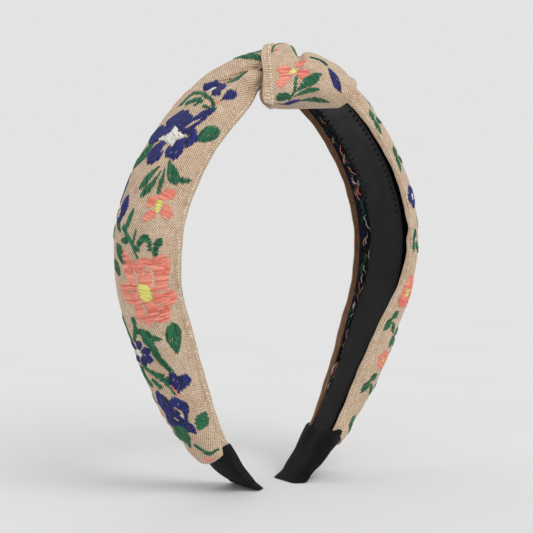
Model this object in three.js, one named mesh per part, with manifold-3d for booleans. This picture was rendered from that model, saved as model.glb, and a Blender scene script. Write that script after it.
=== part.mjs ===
// A knotted fabric headband that stands on its two tips: a springy plastic hoop, padded and
// covered outside by a woven ribbon, with a ribbon knot at the crown and cloth sleeves on the tips.
// Millimetres, +Z up. X runs from tip to tip, Y from the front edge (-Y) to the back edge.
//
// Everything follows one line, the hem line: it starts at the crown, in the middle of the
// headband's width, and runs down one leg at the level of the ribbon's hems. A point of the
// headband is given by how far along that line it is, how far across it (Y) and how high
// above it, away from the head.
import * as THREE from "three";
import { mergeVertices } from "three/addons/utils/BufferGeometryUtils.js";
import Module from "manifold-3d";

const wasm = await Module();
wasm.setup();

// The hem line.
const CROWN_HEIGHT = 163;
const HALF_WIDTH = 59;
const WIDEST_HEIGHT = 98;
const SHANK_HALF_WIDTH = 47; // a point on the straight part of the leg
const SHANK_HEIGHT = 61;
const SHANK_ANGLE = 25; // degrees between the straight part and the upright
const TIP_HALF_GAP = 9.6;
const TIP_ANGLE = 28; // degrees between the tip and the surface it stands on
// How far each direction carries along the line, as handles of its Bezier curves.
const CROWN_HANDLE = 25;
const SHOULDER_HANDLE = 29;
const SIDE_HANDLE = 15.5;
const SHANK_HANDLE_UP = 17;
const SHANK_HANDLE_DOWN = 24;
const TIP_HANDLE = 19;

// What changes along a leg. share is the share of the leg's length from the crown, hemHalf
// half the distance between the hems, crest the height of the ribbon's crest, belly how far
// the ribbon swells out beyond a plain arch and rise the height of the hoop's inner face.
const STATIONS = [
  { share: 0.0, hemHalf: 17.5, crest: 9.5, belly: 0, rise: 2.7 },
  { share: 0.13, hemHalf: 17.0, crest: 13.0, belly: 0, rise: 2.7 },
  { share: 0.45, hemHalf: 16.9, crest: 14.9, belly: 0, rise: 2.7 },
  { share: 0.6, hemHalf: 12.9, crest: 17.6, belly: 0.8, rise: 2.2 },
  { share: 0.7, hemHalf: 10.1, crest: 18.0, belly: 1.9, rise: 1.4 },
  { share: 0.8, hemHalf: 8.5, crest: 15.0, belly: 1.4, rise: 0.6 },
  { share: 0.86, hemHalf: 7.9, crest: 10.2, belly: 0.4, rise: 0.3 },
  { share: 0.94, hemHalf: 7.7, crest: 4.6, belly: 0, rise: 0.3 },
  { share: 1.0, hemHalf: 7.8, crest: 3.2, belly: 0, rise: 0.3 },
];

// The plastic hoop and its two rows of grip teeth on each leg.
const HOOP_HALF_WIDTH = 11.5;
const HOOP_THICKNESS = 2;
const HOOP_TIP_INSET = 9; // from the end of the sleeve
const TOOTH_HEIGHT = 0.9;
const TOOTH_BASE = 0.7; // radius
const TOOTH_ROOT = 0.6; // how far a tooth reaches into the hoop
const TOOTH_PITCH = 2.6;
const TOOTH_EDGE = 1.4; // from the hoop's edge to the row
const TOOTH_FROM_KNOT = 5;
const TOOTH_ROW = 52;

// The ribbon and its hems.
const RIBBON_THICKNESS = 1;
const HEM_WIDTH = 2.2;
const HEM_THICKNESS = 1.3;

// The foam padding's sides lean outward, up to this share of the ribbon's arch.
const PADDING_SIDE_TURN = 0.2;
const PADDING_LEAST = 0.6;

// The sleeves on the tips.
const SLEEVE_LENGTH = 29;
const SLEEVE_PROUD = 0.9;
const SLEEVE_UNDER = 0.9; // below the hem line at both ends
const SLEEVE_SAG = 1.8; // how much lower its slack underside hangs between them
const SLEEVE_SIDE = 1.8;
const POCKET_OVERCUT = 1; // so that the pocket is cut right through the sleeve's open end

// The knot. Each leg springs outward about a line across the hoop at the knot's mouth.
const MOUTH = 27; // from the crown, along the hem line
const LEG_OPENING = 14; // degrees
const CORE_NARROWER = 2;
const CORE_SIDE = 0.8;
const KNOT_HALF_DEPTH = 21.5;
const KNOT_ABOVE = 15.6; // above the hem line, at the left edge
const KNOT_ABOVE_RIGHT = 11.5;
const KNOT_BELOW = 10.5;
const KNOT_UNDERSIDE = 153.6; // the height of its flat underside
const KNOT_LIP = 1.6;
const KNOT_MOUTH_GAP = 2.4;
const KNOT_EDGE_LEFT = -4.2; // where the knot's slanting left edge crosses the top
const KNOT_EDGE_SLOPE = 0.83;
const KNOT_LEFT_MOST = -21;
const KNOT_LEFT_LEAST = 8;
const KNOT_CREASE_AT = 0.42; // share of the way from its left edge to its right
const KNOT_CREASE_DEPTH = 2.2;
const KNOT_CREASE_SPAN = 0.16;
const KNOT_SHOULDER = 3; // how suddenly it swells from its lips: a power
// How square its outlines are: 2 is an ellipse, and more is squarer.
const KNOT_FACE_SQUARE = 2.5;
const KNOT_HOLE_SQUARE = 2.4;
const KNOT_HOLE_SQUARE_UNDER = 4;

const GAP = 0.3;

// How many facets stand for each curve: along the piece, then across or round it.
const HOOP_STEPS = [26, 2];
const HOOP_CROWN_STEPS = [12, 2];
const POCKET_STEPS = [6, 2];
const TOOTH_SIDES = 4;
const COVER_STEPS = [24, 14];
const PADDING_STEPS = [20, 10];
const HEM_STEPS = [24, 1];
const SLEEVE_STEPS = [8, 10];
const CORE_STEPS = [12, 8];
const KNOT_STEPS = [14, 28];

const RIBBON = { color: 0xbfa07a, roughness: 0.9, metalness: 0 };
const HEM = { color: 0xd3bc98, roughness: 0.9, metalness: 0 };
const PLASTIC = { color: 0x171717, roughness: 0.45, metalness: 0 };
const FOAM = { color: 0xe4dfd3, roughness: 0.95, metalness: 0 };
const SLEEVE = { color: 0x0f0f10, roughness: 0.85, metalness: 0 };

const { lerp, clamp, degToRad } = THREE.MathUtils;

// The hem line of the leg on the +X side, as x and height.
function makeHemLine() {
  const at = (x, height) => new THREE.Vector2(x, height);
  const shankLean = degToRad(SHANK_ANGLE);
  const shankUp = at(Math.sin(shankLean), Math.cos(shankLean));
  const tipLean = degToRad(TIP_ANGLE);
  const tipUp = at(Math.cos(tipLean), Math.sin(tipLean));
  const crown = at(0, CROWN_HEIGHT);
  const widest = at(HALF_WIDTH, WIDEST_HEIGHT);
  const shank = at(SHANK_HALF_WIDTH, SHANK_HEIGHT);
  const tip = at(TIP_HALF_GAP, 0);
  const along = (point, way, length) => point.clone().addScaledVector(way, length);
  const upright = at(0, 1);
  const line = new THREE.CurvePath();
  line.add(new THREE.CubicBezierCurve(
    crown,
    along(crown, at(1, 0), CROWN_HANDLE),
    along(widest, upright, SHOULDER_HANDLE),
    widest,
  ));
  line.add(new THREE.CubicBezierCurve(
    widest,
    along(widest, upright, -SIDE_HANDLE),
    along(shank, shankUp, SHANK_HANDLE_UP),
    shank,
  ));
  line.add(new THREE.CubicBezierCurve(
    shank,
    along(shank, shankUp, -SHANK_HANDLE_DOWN),
    along(tip, tipUp, TIP_HANDLE),
    tip,
  ));
  return line;
}

const hemLine = makeHemLine();
const LEG_LENGTH = hemLine.getLength();
const SLEEVE_START = LEG_LENGTH - SLEEVE_LENGTH;
const HOOP_END = LEG_LENGTH - HOOP_TIP_INSET;
const HINGE_SHEAR = Math.tan(degToRad(LEG_OPENING));
const HINGE_RISE = sizesAt(MOUTH).rise + HOOP_THICKNESS / 2;

// The sizes at a distance along the leg, on smooth curves through the stations.
function sizesAt(along) {
  const shares = STATIONS.map((station) => station.share);
  const values = STATIONS.flatMap(({ hemHalf, crest, belly, rise }) => [hemHalf, crest, belly, rise]);
  const curve = new THREE.CubicInterpolant(shares, values, 4, []);
  const share = Math.min(Math.abs(along) / LEG_LENGTH, 1);
  const [hemHalf, crest, belly, rise] = curve.evaluate(share);
  const betweenHems = hemHalf - HEM_WIDTH - GAP;
  const hoopHalf = Math.min(HOOP_HALF_WIDTH, betweenHems);
  return { hemHalf, crest, belly, rise, hoopHalf, hoopTop: rise + HOOP_THICKNESS };
}

// The point at a distance along the hem line (below 0 on the -X side), across and above it.
function onBand(along, across, above) {
  const share = Math.min(Math.abs(along) / LEG_LENGTH, 1);
  const side = along < 0 ? -1 : 1;
  const point = hemLine.getPoint(share);
  const direction = hemLine.getTangent(share);
  const beyond = Math.max(Math.abs(along) - LEG_LENGTH, 0);
  const x = point.x + direction.x * beyond - direction.y * above;
  const z = point.y + direction.y * beyond + direction.x * above;
  return new THREE.Vector3(side * x, across, z);
}

// Moves every vertex of a closed geometry to where place puts it, with shared vertices.
function bend(geometry, place) {
  geometry.deleteAttribute("normal");
  geometry.deleteAttribute("uv");
  const bent = mergeVertices(geometry, 1e-5);
  const positions = bent.getAttribute("position");
  for (let i = 0; i < positions.count; i += 1) {
    const at = place(positions.getX(i), positions.getY(i), positions.getZ(i));
    positions.setXYZ(i, at.x, at.y, at.z);
  }
  bent.computeVertexNormals();
  return bent;
}

// A box whose corners go from 0 to 1 in each direction, bent: x along, y across, z upward.
function bendBox([alongSteps, acrossSteps], place) {
  const box = new THREE.BoxGeometry(1, 1, 1, alongSteps, acrossSteps, 1);
  box.translate(0.5, 0.5, 0.5);
  return bend(box, place);
}

function toSolid(geometry) {
  return new wasm.Manifold(
    new wasm.Mesh({
      numProp: 3,
      vertProperties: new Float32Array(geometry.getAttribute("position").array),
      triVerts: new Uint32Array(geometry.getIndex().array),
    }),
  );
}

function toGeometry(solid) {
  const mesh = solid.getMesh();
  const geometry = new THREE.BufferGeometry();
  geometry.setAttribute("position", new THREE.BufferAttribute(mesh.vertProperties, 3));
  geometry.setIndex(new THREE.BufferAttribute(mesh.triVerts, 1));
  geometry.computeVertexNormals();
  return geometry;
}

function piece(name, geometry, look) {
  const mesh = new THREE.Mesh(geometry, new THREE.MeshStandardMaterial(look));
  mesh.name = name;
  return mesh;
}

// Where a leg's piece starts at a height: the mouth leans so that the leg can spring outward.
function legStart(above) {
  return MOUTH + GAP + Math.max(above - HINGE_RISE, 0) * HINGE_SHEAR;
}

// A flat strip of the hoop between two distances along it.
function hoopStrip(start, end, steps, clearance = 0) {
  return bendBox(steps, (x, y, z) => {
    const along = lerp(start, end, x);
    const { hoopHalf, rise, hoopTop } = sizesAt(along);
    const across = lerp(-hoopHalf - clearance, hoopHalf + clearance, y);
    return onBand(along, across, lerp(rise - clearance, hoopTop + clearance, z));
  });
}

// One grip tooth, a four-sided point that stands on the hoop's inner face.
function gripTooth(along, across) {
  const { rise } = sizesAt(along);
  const height = TOOTH_HEIGHT + TOOTH_ROOT;
  const cone = new THREE.ConeGeometry(TOOTH_BASE, height, TOOTH_SIDES);
  cone.rotateX(-Math.PI / 2);
  const middle = rise + TOOTH_ROOT - height / 2;
  return bend(cone, (x, y, z) => onBand(along + x, across + y, middle + z));
}

function hoopLeg() {
  let solid = toSolid(hoopStrip(MOUTH + GAP, HOOP_END, HOOP_STEPS));
  const teeth = Math.floor(TOOTH_ROW / TOOTH_PITCH);
  for (let i = 0; i < teeth; i += 1) {
    const along = MOUTH + TOOTH_FROM_KNOT + i * TOOTH_PITCH;
    const across = sizesAt(along).hoopHalf - TOOTH_EDGE;
    solid = solid.add(toSolid(gripTooth(along, across)));
    solid = solid.add(toSolid(gripTooth(along, -across)));
  }
  return toGeometry(solid);
}

// The ribbon's arched section: out to the hems and up to the crest, inset by a distance.
function archAt(along, turn, inset) {
  const { hemHalf, crest, belly } = sizesAt(along);
  const foot = HEM_THICKNESS + GAP;
  const swell = belly * Math.sin(2 * Math.PI * turn);
  const across = -(hemHalf - inset) * Math.cos(Math.PI * turn) - swell;
  const above = foot + (crest - foot - inset) * Math.sin(Math.PI * turn);
  return { across, above };
}

function cover() {
  return bendBox(COVER_STEPS, (x, y, z) => {
    const rough = lerp(MOUTH, SLEEVE_START - GAP, x);
    const height = archAt(rough, y, RIBBON_THICKNESS * (1 - z)).above;
    const along = lerp(legStart(height), SLEEVE_START - GAP, x);
    const { across, above } = archAt(along, y, RIBBON_THICKNESS * (1 - z));
    return onBand(along, across, above);
  });
}

// The foam between the hoop and the ribbon: flat on the hoop and arched under the ribbon.
function padding() {
  return bendBox(PADDING_STEPS, (x, y, z) => {
    const rough = lerp(MOUTH, SLEEVE_START - GAP, x);
    const { hoopHalf, hoopTop } = sizesAt(rough);
    const turn = lerp(PADDING_SIDE_TURN, 1 - PADDING_SIDE_TURN, y);
    const arch = archAt(rough, turn, RIBBON_THICKNESS + 2 * GAP);
    const foot = { across: lerp(-hoopHalf, hoopHalf, y), above: hoopTop + GAP };
    const across = lerp(foot.across, arch.across, z);
    const above = lerp(foot.above, Math.max(arch.above, foot.above + PADDING_LEAST), z);
    return onBand(lerp(legStart(above), SLEEVE_START - GAP, x), across, above);
  });
}

// The turned-in hem along one edge of the ribbon; side is -1 or 1 across.
function hem(side) {
  return bendBox(HEM_STEPS, (x, y, z) => {
    const along = lerp(MOUTH + GAP, SLEEVE_START - GAP, x);
    const { hemHalf } = sizesAt(along);
    const across = side * (hemHalf - HEM_WIDTH / 2) + (y - 0.5) * HEM_WIDTH;
    return onBand(along, across, HEM_THICKNESS * z);
  });
}

// How far the end of a sleeve lies past the tip of the hem line, so that it is level.
function footOffset(above) {
  return -above / Math.tan(degToRad(TIP_ANGLE));
}

function sleeveBody() {
  return bendBox(SLEEVE_STEPS, (x, y, z) => {
    const rough = lerp(SLEEVE_START, LEG_LENGTH, x);
    const { hemHalf, crest } = sizesAt(rough);
    const arch = Math.sin(Math.PI * y);
    const top = SLEEVE_SIDE + (crest + SLEEVE_PROUD - SLEEVE_SIDE) * arch;
    const bottom = -SLEEVE_UNDER - SLEEVE_SAG * Math.sin(Math.PI * x) * arch;
    const above = lerp(bottom, top, z);
    const across = -(hemHalf + SLEEVE_PROUD) * Math.cos(Math.PI * y);
    const along = lerp(SLEEVE_START, LEG_LENGTH + footOffset(above), x);
    const at = onBand(along, across, above);
    at.z = x === 1 ? 0 : Math.max(at.z, 0);
    return at;
  });
}

// The sleeve has a pocket that takes the end of the hoop.
function tipSleeve() {
  const pocket = hoopStrip(SLEEVE_START - POCKET_OVERCUT, HOOP_END + GAP, POCKET_STEPS, GAP);
  return toGeometry(toSolid(sleeveBody()).subtract(toSolid(pocket)));
}

// The gathered ribbon and padding that run through the knot, above the hoop.
function knotCore() {
  const { hemHalf, crest } = sizesAt(0);
  return bendBox(CORE_STEPS, (x, y, z) => {
    const along = lerp(-MOUTH, MOUTH, x);
    const foot = sizesAt(along).hoopTop + GAP;
    const arch = Math.sin(Math.PI * y);
    const top = foot + CORE_SIDE + (crest - foot - CORE_SIDE) * arch;
    const across = -(hemHalf - CORE_NARROWER) * Math.cos(Math.PI * y);
    return onBand(along, across, lerp(foot, top, z));
  });
}

// A rounded box outline: the point at an angle of a shape with the given half sizes.
function squarish(angle, halfWidth, halfHeight, power) {
  const flatten = (value) => Math.sign(value) * Math.abs(value) ** (2 / power);
  return {
    across: halfWidth * flatten(Math.cos(angle)),
    above: halfHeight * flatten(Math.sin(angle)),
  };
}

// The knot's hole, which clears the hoop and the core.
function knotHoleAt(angle) {
  const { hemHalf, crest, rise, hoopTop } = sizesAt(0);
  const under = Math.sin(angle) < 0;
  const reach = under ? HOOP_THICKNESS + 3 * GAP : crest - hoopTop + 2 * GAP;
  const halfWidth = hemHalf - CORE_NARROWER + 3 * GAP;
  const square = under ? KNOT_HOLE_SQUARE_UNDER : KNOT_HOLE_SQUARE;
  const { across, above } = squarish(angle, halfWidth, reach, square);
  return { across, above: rise + HOOP_THICKNESS + above };
}

// The knot's outer face: thin lips at both mouths, two folds and a crease between them.
function knotFaceAt(angle, share, hole) {
  const swell = Math.sqrt(1 - Math.abs(2 * share - 1) ** KNOT_SHOULDER);
  const crease = Math.exp(-(((share - KNOT_CREASE_AT) / KNOT_CREASE_SPAN) ** 2));
  const upward = Math.max(Math.sin(angle), 0);
  const top = lerp(KNOT_ABOVE, KNOT_ABOVE_RIGHT, share * share);
  const reach = upward > 0 ? top : KNOT_BELOW;
  const full = squarish(angle, KNOT_HALF_DEPTH, reach, KNOT_FACE_SQUARE);
  const lip = squarish(angle, KNOT_LIP, KNOT_LIP, 2);
  const foldHeight = full.above - crease * upward * KNOT_CREASE_DEPTH;
  return {
    across: lerp(hole.across + lip.across, full.across, swell),
    above: lerp(hole.above + lip.above, foldHeight, swell),
  };
}

// The ribbon tied round the crown: a ring about the hoop whose left edge slants.
function knotWrap() {
  const [along, round] = KNOT_STEPS;
  const profile = [];
  for (let i = 0; i <= along; i += 1) {
    profile.push(new THREE.Vector2(2, i / along));
  }
  for (let i = along; i >= 0; i -= 1) {
    profile.push(new THREE.Vector2(1, i / along));
  }
  profile.push(profile[0].clone());
  const ring = new THREE.LatheGeometry(profile, round);
  return bend(ring, (x, y, z) => {
    const angle = Math.atan2(x, z);
    const outward = Math.hypot(x, z) - 1;
    const hole = knotHoleAt(angle);
    const face = knotFaceAt(angle, y, hole);
    const slant = KNOT_EDGE_LEFT + KNOT_EDGE_SLOPE * face.across;
    const left = clamp(slant, KNOT_LEFT_MOST, KNOT_LEFT_LEAST);
    const across = lerp(hole.across, face.across, outward);
    const above = lerp(hole.above, face.above, outward);
    const at = onBand(lerp(left, MOUTH - KNOT_MOUTH_GAP, y), across, above);
    at.z = Math.max(at.z, KNOT_UNDERSIDE);
    return at;
  });
}

function crown() {
  const group = new THREE.Group();
  group.add(piece("hoop_crown", hoopStrip(-MOUTH, MOUTH, HOOP_CROWN_STEPS), PLASTIC));
  group.add(piece("knot_core", knotCore(), RIBBON));
  group.add(piece("knot_wrap", knotWrap(), RIBBON));
  return group;
}

// The leg on the +X side. The other leg is the same one turned half round, front to back.
function leg(name, frontSide) {
  const group = new THREE.Group();
  group.add(piece(`${name}_hoop`, hoopLeg(), PLASTIC));
  group.add(piece(`${name}_padding`, padding(), FOAM));
  group.add(piece(`${name}_cover`, cover(), RIBBON));
  group.add(piece(`${name}_front_hem`, hem(frontSide), HEM));
  group.add(piece(`${name}_back_hem`, hem(-frontSide), HEM));
  group.add(piece(`${name}_tip_sleeve`, tipSleeve(), SLEEVE));
  return group;
}

const headband = new THREE.Group();
headband.add(crown());
headband.add(leg("right", -1));
const leftLeg = leg("left", 1);
leftLeg.rotation.z = Math.PI;
headband.add(leftLeg);

export default headband;
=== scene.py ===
import math
import random
from functools import partial

import bmesh
import bpy
import numpy as np
from mathutils import Matrix, Vector


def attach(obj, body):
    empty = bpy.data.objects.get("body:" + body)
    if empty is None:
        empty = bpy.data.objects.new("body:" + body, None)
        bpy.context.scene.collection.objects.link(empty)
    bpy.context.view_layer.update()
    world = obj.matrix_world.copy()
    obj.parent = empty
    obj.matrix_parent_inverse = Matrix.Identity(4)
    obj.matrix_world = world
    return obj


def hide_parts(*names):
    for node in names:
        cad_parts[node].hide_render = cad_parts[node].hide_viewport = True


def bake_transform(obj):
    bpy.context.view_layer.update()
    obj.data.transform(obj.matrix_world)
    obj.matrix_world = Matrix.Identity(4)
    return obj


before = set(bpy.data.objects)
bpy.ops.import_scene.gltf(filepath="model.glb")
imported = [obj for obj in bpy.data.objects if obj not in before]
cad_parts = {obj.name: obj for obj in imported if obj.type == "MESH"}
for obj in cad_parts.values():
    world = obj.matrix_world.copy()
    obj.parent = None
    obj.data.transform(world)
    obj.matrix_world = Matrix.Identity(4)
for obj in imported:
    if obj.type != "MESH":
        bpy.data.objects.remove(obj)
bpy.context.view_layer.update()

# Lengths are in millimetres up to make_mesh, which turns them into metres. The hem line and the
# sections are those of the CAD model. The cloth's folds, the knot's edges and the hems are shaped
# here. along runs from the crown down a leg, across is Y, and above is the height over the hem
# line, away from the head.
MM = 0.001
random.seed(7)

# ---------------------------------------------------------------- the hem line and the sections
CROWN_HEIGHT = 163
HALF_WIDTH = 59
WIDEST_HEIGHT = 98
SHANK = (47, 61)
SHANK_LEAN = math.radians(25)
TIP_HALF_GAP = 9.6
TIP_LEAN = math.radians(28)
CROWN_HANDLE = 25
SHOULDER_HANDLE = 29
SIDE_HANDLE = 15.5
SHANK_HANDLE_UP = 17
SHANK_HANDLE_DOWN = 24
TIP_HANDLE = 19

# share of the leg's length, half the distance between the hems, crest, belly, hoop's rise
STATIONS = [
    (0.0, 17.5, 9.5, 0.0, 2.7),
    (0.13, 17.0, 13.0, 0.0, 2.7),
    (0.45, 16.9, 14.9, 0.0, 2.7),
    (0.6, 12.9, 17.6, 0.8, 2.2),
    (0.7, 10.1, 18.0, 1.9, 1.4),
    (0.8, 8.5, 15.0, 1.4, 0.6),
    (0.86, 7.9, 10.2, 0.4, 0.3),
    (0.94, 7.7, 4.6, 0.0, 0.3),
    (1.0, 7.8, 3.2, 0.0, 0.3),
]
RIBBON_FOOT = 1.6
HOOP_HALF_WIDTH = 11.5
HOOP_THICKNESS = 2
HEM_AND_GAP = 2.5
MOUTH = 27
SLEEVE_LENGTH = 29


BEZIER_STEPS = 600


def bezier(points):
    t = np.linspace(0, 1, BEZIER_STEPS)[:, None]
    a, b, c, d = np.array(points, float)
    return (1 - t) ** 3 * a + 3 * (1 - t) ** 2 * t * b + 3 * (1 - t) * t**2 * c + t**3 * d


def make_hem_line():
    shank_up = np.array([math.sin(SHANK_LEAN), math.cos(SHANK_LEAN)])
    tip_up = np.array([math.cos(TIP_LEAN), math.sin(TIP_LEAN)])
    crown, widest = np.array([0, CROWN_HEIGHT]), np.array([HALF_WIDTH, WIDEST_HEIGHT])
    shank, tip = np.array(SHANK), np.array([TIP_HALF_GAP, 0])
    up = np.array([0, 1])
    curves = [
        (crown, crown + (CROWN_HANDLE, 0), widest + up * SHOULDER_HANDLE, widest),
        (widest, widest - up * SIDE_HANDLE, shank + shank_up * SHANK_HANDLE_UP, shank),
        (shank, shank - shank_up * SHANK_HANDLE_DOWN, tip + tip_up * TIP_HANDLE, tip),
    ]
    return np.vstack([bezier(curve)[k > 0 :] for k, curve in enumerate(curves)])


HEM_LINE = make_hem_line()
HEM_RUN = np.concatenate([[0], np.cumsum(np.hypot(*np.diff(HEM_LINE, axis=0).T))])
LEG_LENGTH = HEM_RUN[-1]
HEM_HEADING = np.gradient(HEM_LINE, axis=0)
HEM_HEADING /= np.hypot(*HEM_HEADING.T)[:, None]
SLEEVE_START = LEG_LENGTH - SLEEVE_LENGTH


def smooth(x, xs, ys):
    """A cubic curve through points, whose slopes come from their neighbours."""
    xs, ys = np.asarray(xs, float), np.asarray(ys, float)
    steps = np.diff(ys) / np.diff(xs)
    slopes = np.empty_like(ys)
    slopes[1:-1] = (ys[2:] - ys[:-2]) / (xs[2:] - xs[:-2])
    if len(xs) > 2:
        slopes[0] = 1.5 * steps[0] - slopes[1] / 2
        slopes[-1] = 1.5 * steps[-1] - slopes[-2] / 2
    else:
        slopes[:] = steps[0]
    x = np.clip(x, xs[0], xs[-1])
    i = np.clip(np.searchsorted(xs, x, side="right") - 1, 0, len(xs) - 2)
    h = xs[i + 1] - xs[i]
    t = (x - xs[i]) / h
    near = (2 * t**3 - 3 * t**2 + 1) * ys[i] + (t**3 - 2 * t**2 + t) * h * slopes[i]
    far = (3 * t**2 - 2 * t**3) * ys[i + 1] + (t**3 - t**2) * h * slopes[i + 1]
    return near + far


def sizes_at(along):
    """Half the distance between the hems, the crest, the belly and the hoop's rise."""
    share = np.clip(np.abs(along) / LEG_LENGTH, 0, 1)
    stations = np.array(STATIONS)
    return [smooth(share, stations[:, 0], stations[:, k]) for k in range(1, 5)]


def as_arrays(*values):
    """The values as float arrays of one shape."""
    return np.broadcast_arrays(*(np.asarray(value, float) for value in values))


def on_band(side, along, across, above):
    """Points at distances along the hem line of a leg (side 1 is +X), across and above it."""
    along, across, above = as_arrays(along, across, above)
    side = np.where(along < 0, -side, side)
    along = np.abs(along)
    inside = np.minimum(along, LEG_LENGTH)
    x, z, run_x, run_z = (
        np.interp(inside, HEM_RUN, values) for values in (*HEM_LINE.T, *HEM_HEADING.T)
    )
    beyond = along - inside
    x = x + run_x * beyond - run_z * above
    z = z + run_z * beyond + run_x * above
    return np.stack([side * x, across, z], axis=-1)


def ease(x, start, end):
    """0 before start, 1 after end and a smooth step between them."""
    t = np.clip((x - start) / (end - start), 0, 1)
    return t * t * (3 - 2 * t)


def bump(x, middle, spread):
    return np.exp(-(((x - middle) / spread) ** 2))


def arch(along, turn, out=0.0):
    """The ribbon's arched section, from hem to hem as turn goes from 0 to 1, and out from it."""
    half, crest, belly, _ = sizes_at(along)
    across = -half * np.cos(np.pi * turn) - belly * np.sin(2 * np.pi * turn)
    above = RIBBON_FOOT + (crest - RIBBON_FOOT) * np.sin(np.pi * turn)
    run_across = np.pi * half * np.sin(np.pi * turn) - 2 * np.pi * belly * np.cos(2 * np.pi * turn)
    run_above = np.pi * (crest - RIBBON_FOOT) * np.cos(np.pi * turn)
    size = np.hypot(run_across, run_above)
    return across - out * run_above / size, above + out * run_across / size


# The ribbon's own coordinates: along the leg, and over its arch from the crest, with the front
# edge (-Y) positive. The table gives the arch's turn for a share of its half width.
TABLE_ALONG = np.linspace(0, LEG_LENGTH, 240)
TABLE_SHARE = np.linspace(-1, 1, 161)


def make_turn_table():
    turn = np.linspace(0, 1, 401)
    across, above = arch(TABLE_ALONG[:, None], turn[None, :])
    steps = np.hypot(np.diff(across, axis=1), np.diff(above, axis=1))
    run = np.concatenate([np.zeros((len(TABLE_ALONG), 1)), np.cumsum(steps, axis=1)], axis=1)
    half = run[:, -1] / 2
    table = [np.interp(TABLE_SHARE * h + h, row, 1 - turn[::-1]) for h, row in zip(half, run)]
    return half, np.array(table)


TABLE_HALF, TURN_TABLE = make_turn_table()


def half_ribbon(along):
    """Half the ribbon's width over its arch."""
    return np.interp(along, TABLE_ALONG, TABLE_HALF)


def turn_at(along, over):
    """The arch's turn at a distance over the ribbon from its crest, positive to the front."""
    along = np.abs(along)
    share = np.clip(-over / half_ribbon(along), -1, 1)
    row = np.clip(along / LEG_LENGTH, 0, 1) * (len(TABLE_ALONG) - 1)
    column = (share + 1) / 2 * (len(TABLE_SHARE) - 1)
    i = np.clip(row.astype(int), 0, len(TABLE_ALONG) - 2)
    j = np.clip(column.astype(int), 0, len(TABLE_SHARE) - 2)
    a, b = row - i, column - j
    near = TURN_TABLE[i, j] * (1 - b) + TURN_TABLE[i, j + 1] * b
    far = TURN_TABLE[i + 1, j] * (1 - b) + TURN_TABLE[i + 1, j + 1] * b
    return near * (1 - a) + far * a


COVER_END = SLEEVE_START + 5  # the ribbon's end laps over the sleeve
LAP = 1.5
LAP_RUN = 7
BROAD_SLACK = 0.16
FINE_SLACK = 0.12
FLAT_EDGE = 3  # the swell fades out this near to a hem
PLEAT_DEPTH = 4.9
PLEAT_HALF_WIDTH = 1.35
PLEAT_OVER = 6  # where the pleat lies at PLEAT_ALONG, from which it slants
PLEAT_ALONG = 33
PLEAT_SLANT = 0.62
ROLL_BEHIND_PLEAT = 4.3
ROLL_BEFORE_PLEAT = 2.0
FAR_ROLL = 1.2
FAR_CREASE_DEPTH = 2.2
EDGE_LIFT = 3.0
EDGE_LIFT_ALONG = 22
EDGE_LIFT_SPREAD = 6.5

# The knot's left edge crosses the band at a slant. Both limits are places along the band.
KNOT_EDGE_LEFT = -4.2
KNOT_EDGE_SLOPE = 0.83
KNOT_LEFT_MOST = -21
KNOT_LEFT_LEAST = 8
OVER_TO_ACROSS = -0.8  # roughly, near the knot


def knot_edge(across):
    """Where the knot's left edge lies along the band, positive to the right."""
    return np.clip(KNOT_EDGE_LEFT + KNOT_EDGE_SLOPE * across, KNOT_LEFT_MOST, KNOT_LEFT_LEAST)


def ribbon_swell(side, along, over):
    """How far the ribbon stands out from its plain arch: folds at the knot, slack and its lap."""
    swell = BROAD_SLACK * np.sin(along / 7.1 + over / 5.3) * np.sin(over / 6.7 + side)
    swell = swell + FINE_SLACK * np.sin(along / 3.4 - over / 4.1 + 2 * side)
    swell = swell + LAP * ease(along, SLEEVE_START - LAP_RUN, SLEEVE_START)
    near_knot = 1 - ease(along, 14, 46)
    if side < 0:
        pleat = PLEAT_OVER + PLEAT_SLANT * (PLEAT_ALONG - np.clip(along, 14, 60))
        mouth = -knot_edge(OVER_TO_ACROSS * over)
        outside = ease(along, mouth - 3.5, mouth + 1.5)
        behind = outside * (1 - ease(along, 6, 44))
        swell = swell + ROLL_BEHIND_PLEAT * behind * bump(over, pleat - 9.5, 6.5)
        swell = swell - PLEAT_DEPTH * (1 - ease(along, 26, 41)) * bump(over, pleat, PLEAT_HALF_WIDTH)
        swell = swell + ROLL_BEFORE_PLEAT * near_knot * bump(over, pleat + 6, 3.6)
    else:
        swell = swell + FAR_ROLL * near_knot * bump(over, 8, 9)
        swell = swell - FAR_CREASE_DEPTH * bump(along, 26, 4) * bump(over, 15, 1.6)
    edge = half_ribbon(along) - np.abs(over)
    return swell * ease(edge, 0, FLAT_EDGE)


def on_cloth(side, along, across, above):
    """As on_band, with the near leg's front edge lifted where it runs into the knot."""
    if side < 0:
        lift = EDGE_LIFT * bump(along, EDGE_LIFT_ALONG, EDGE_LIFT_SPREAD) * ease(-across, 7, 16)
        above = above + lift
        across = across + 0.5 * lift
    return on_band(side, along, across, above)


def on_ribbon(side, along, over, out=0.0):
    """Points on a leg's ribbon in its own coordinates, out from its face."""
    along, over = as_arrays(along, over)
    across, above = arch(along, turn_at(along, over), ribbon_swell(side, along, over) + out)
    return on_cloth(side, along, across, above)


# ---------------------------------------------------------------- the knot
KNOT_HALF_DEPTH = 21.5
KNOT_ABOVE = 15.6
KNOT_ABOVE_RIGHT = 11.5
KNOT_BELOW = 10.5
KNOT_UNDERSIDE = 153.6
KNOT_LIP = 1.6
KNOT_RIGHT = MOUTH - 5
KNOT_END_MIDDLE = 4.6
KNOT_END_HEIGHT = 8.6
KNOT_CREASE_AT = 0.4
KNOT_CREASE_DEPTH = 3.4
KNOT_HOLLOW_DEPTH = 1.7
KNOT_CUFF = 7.0


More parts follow.
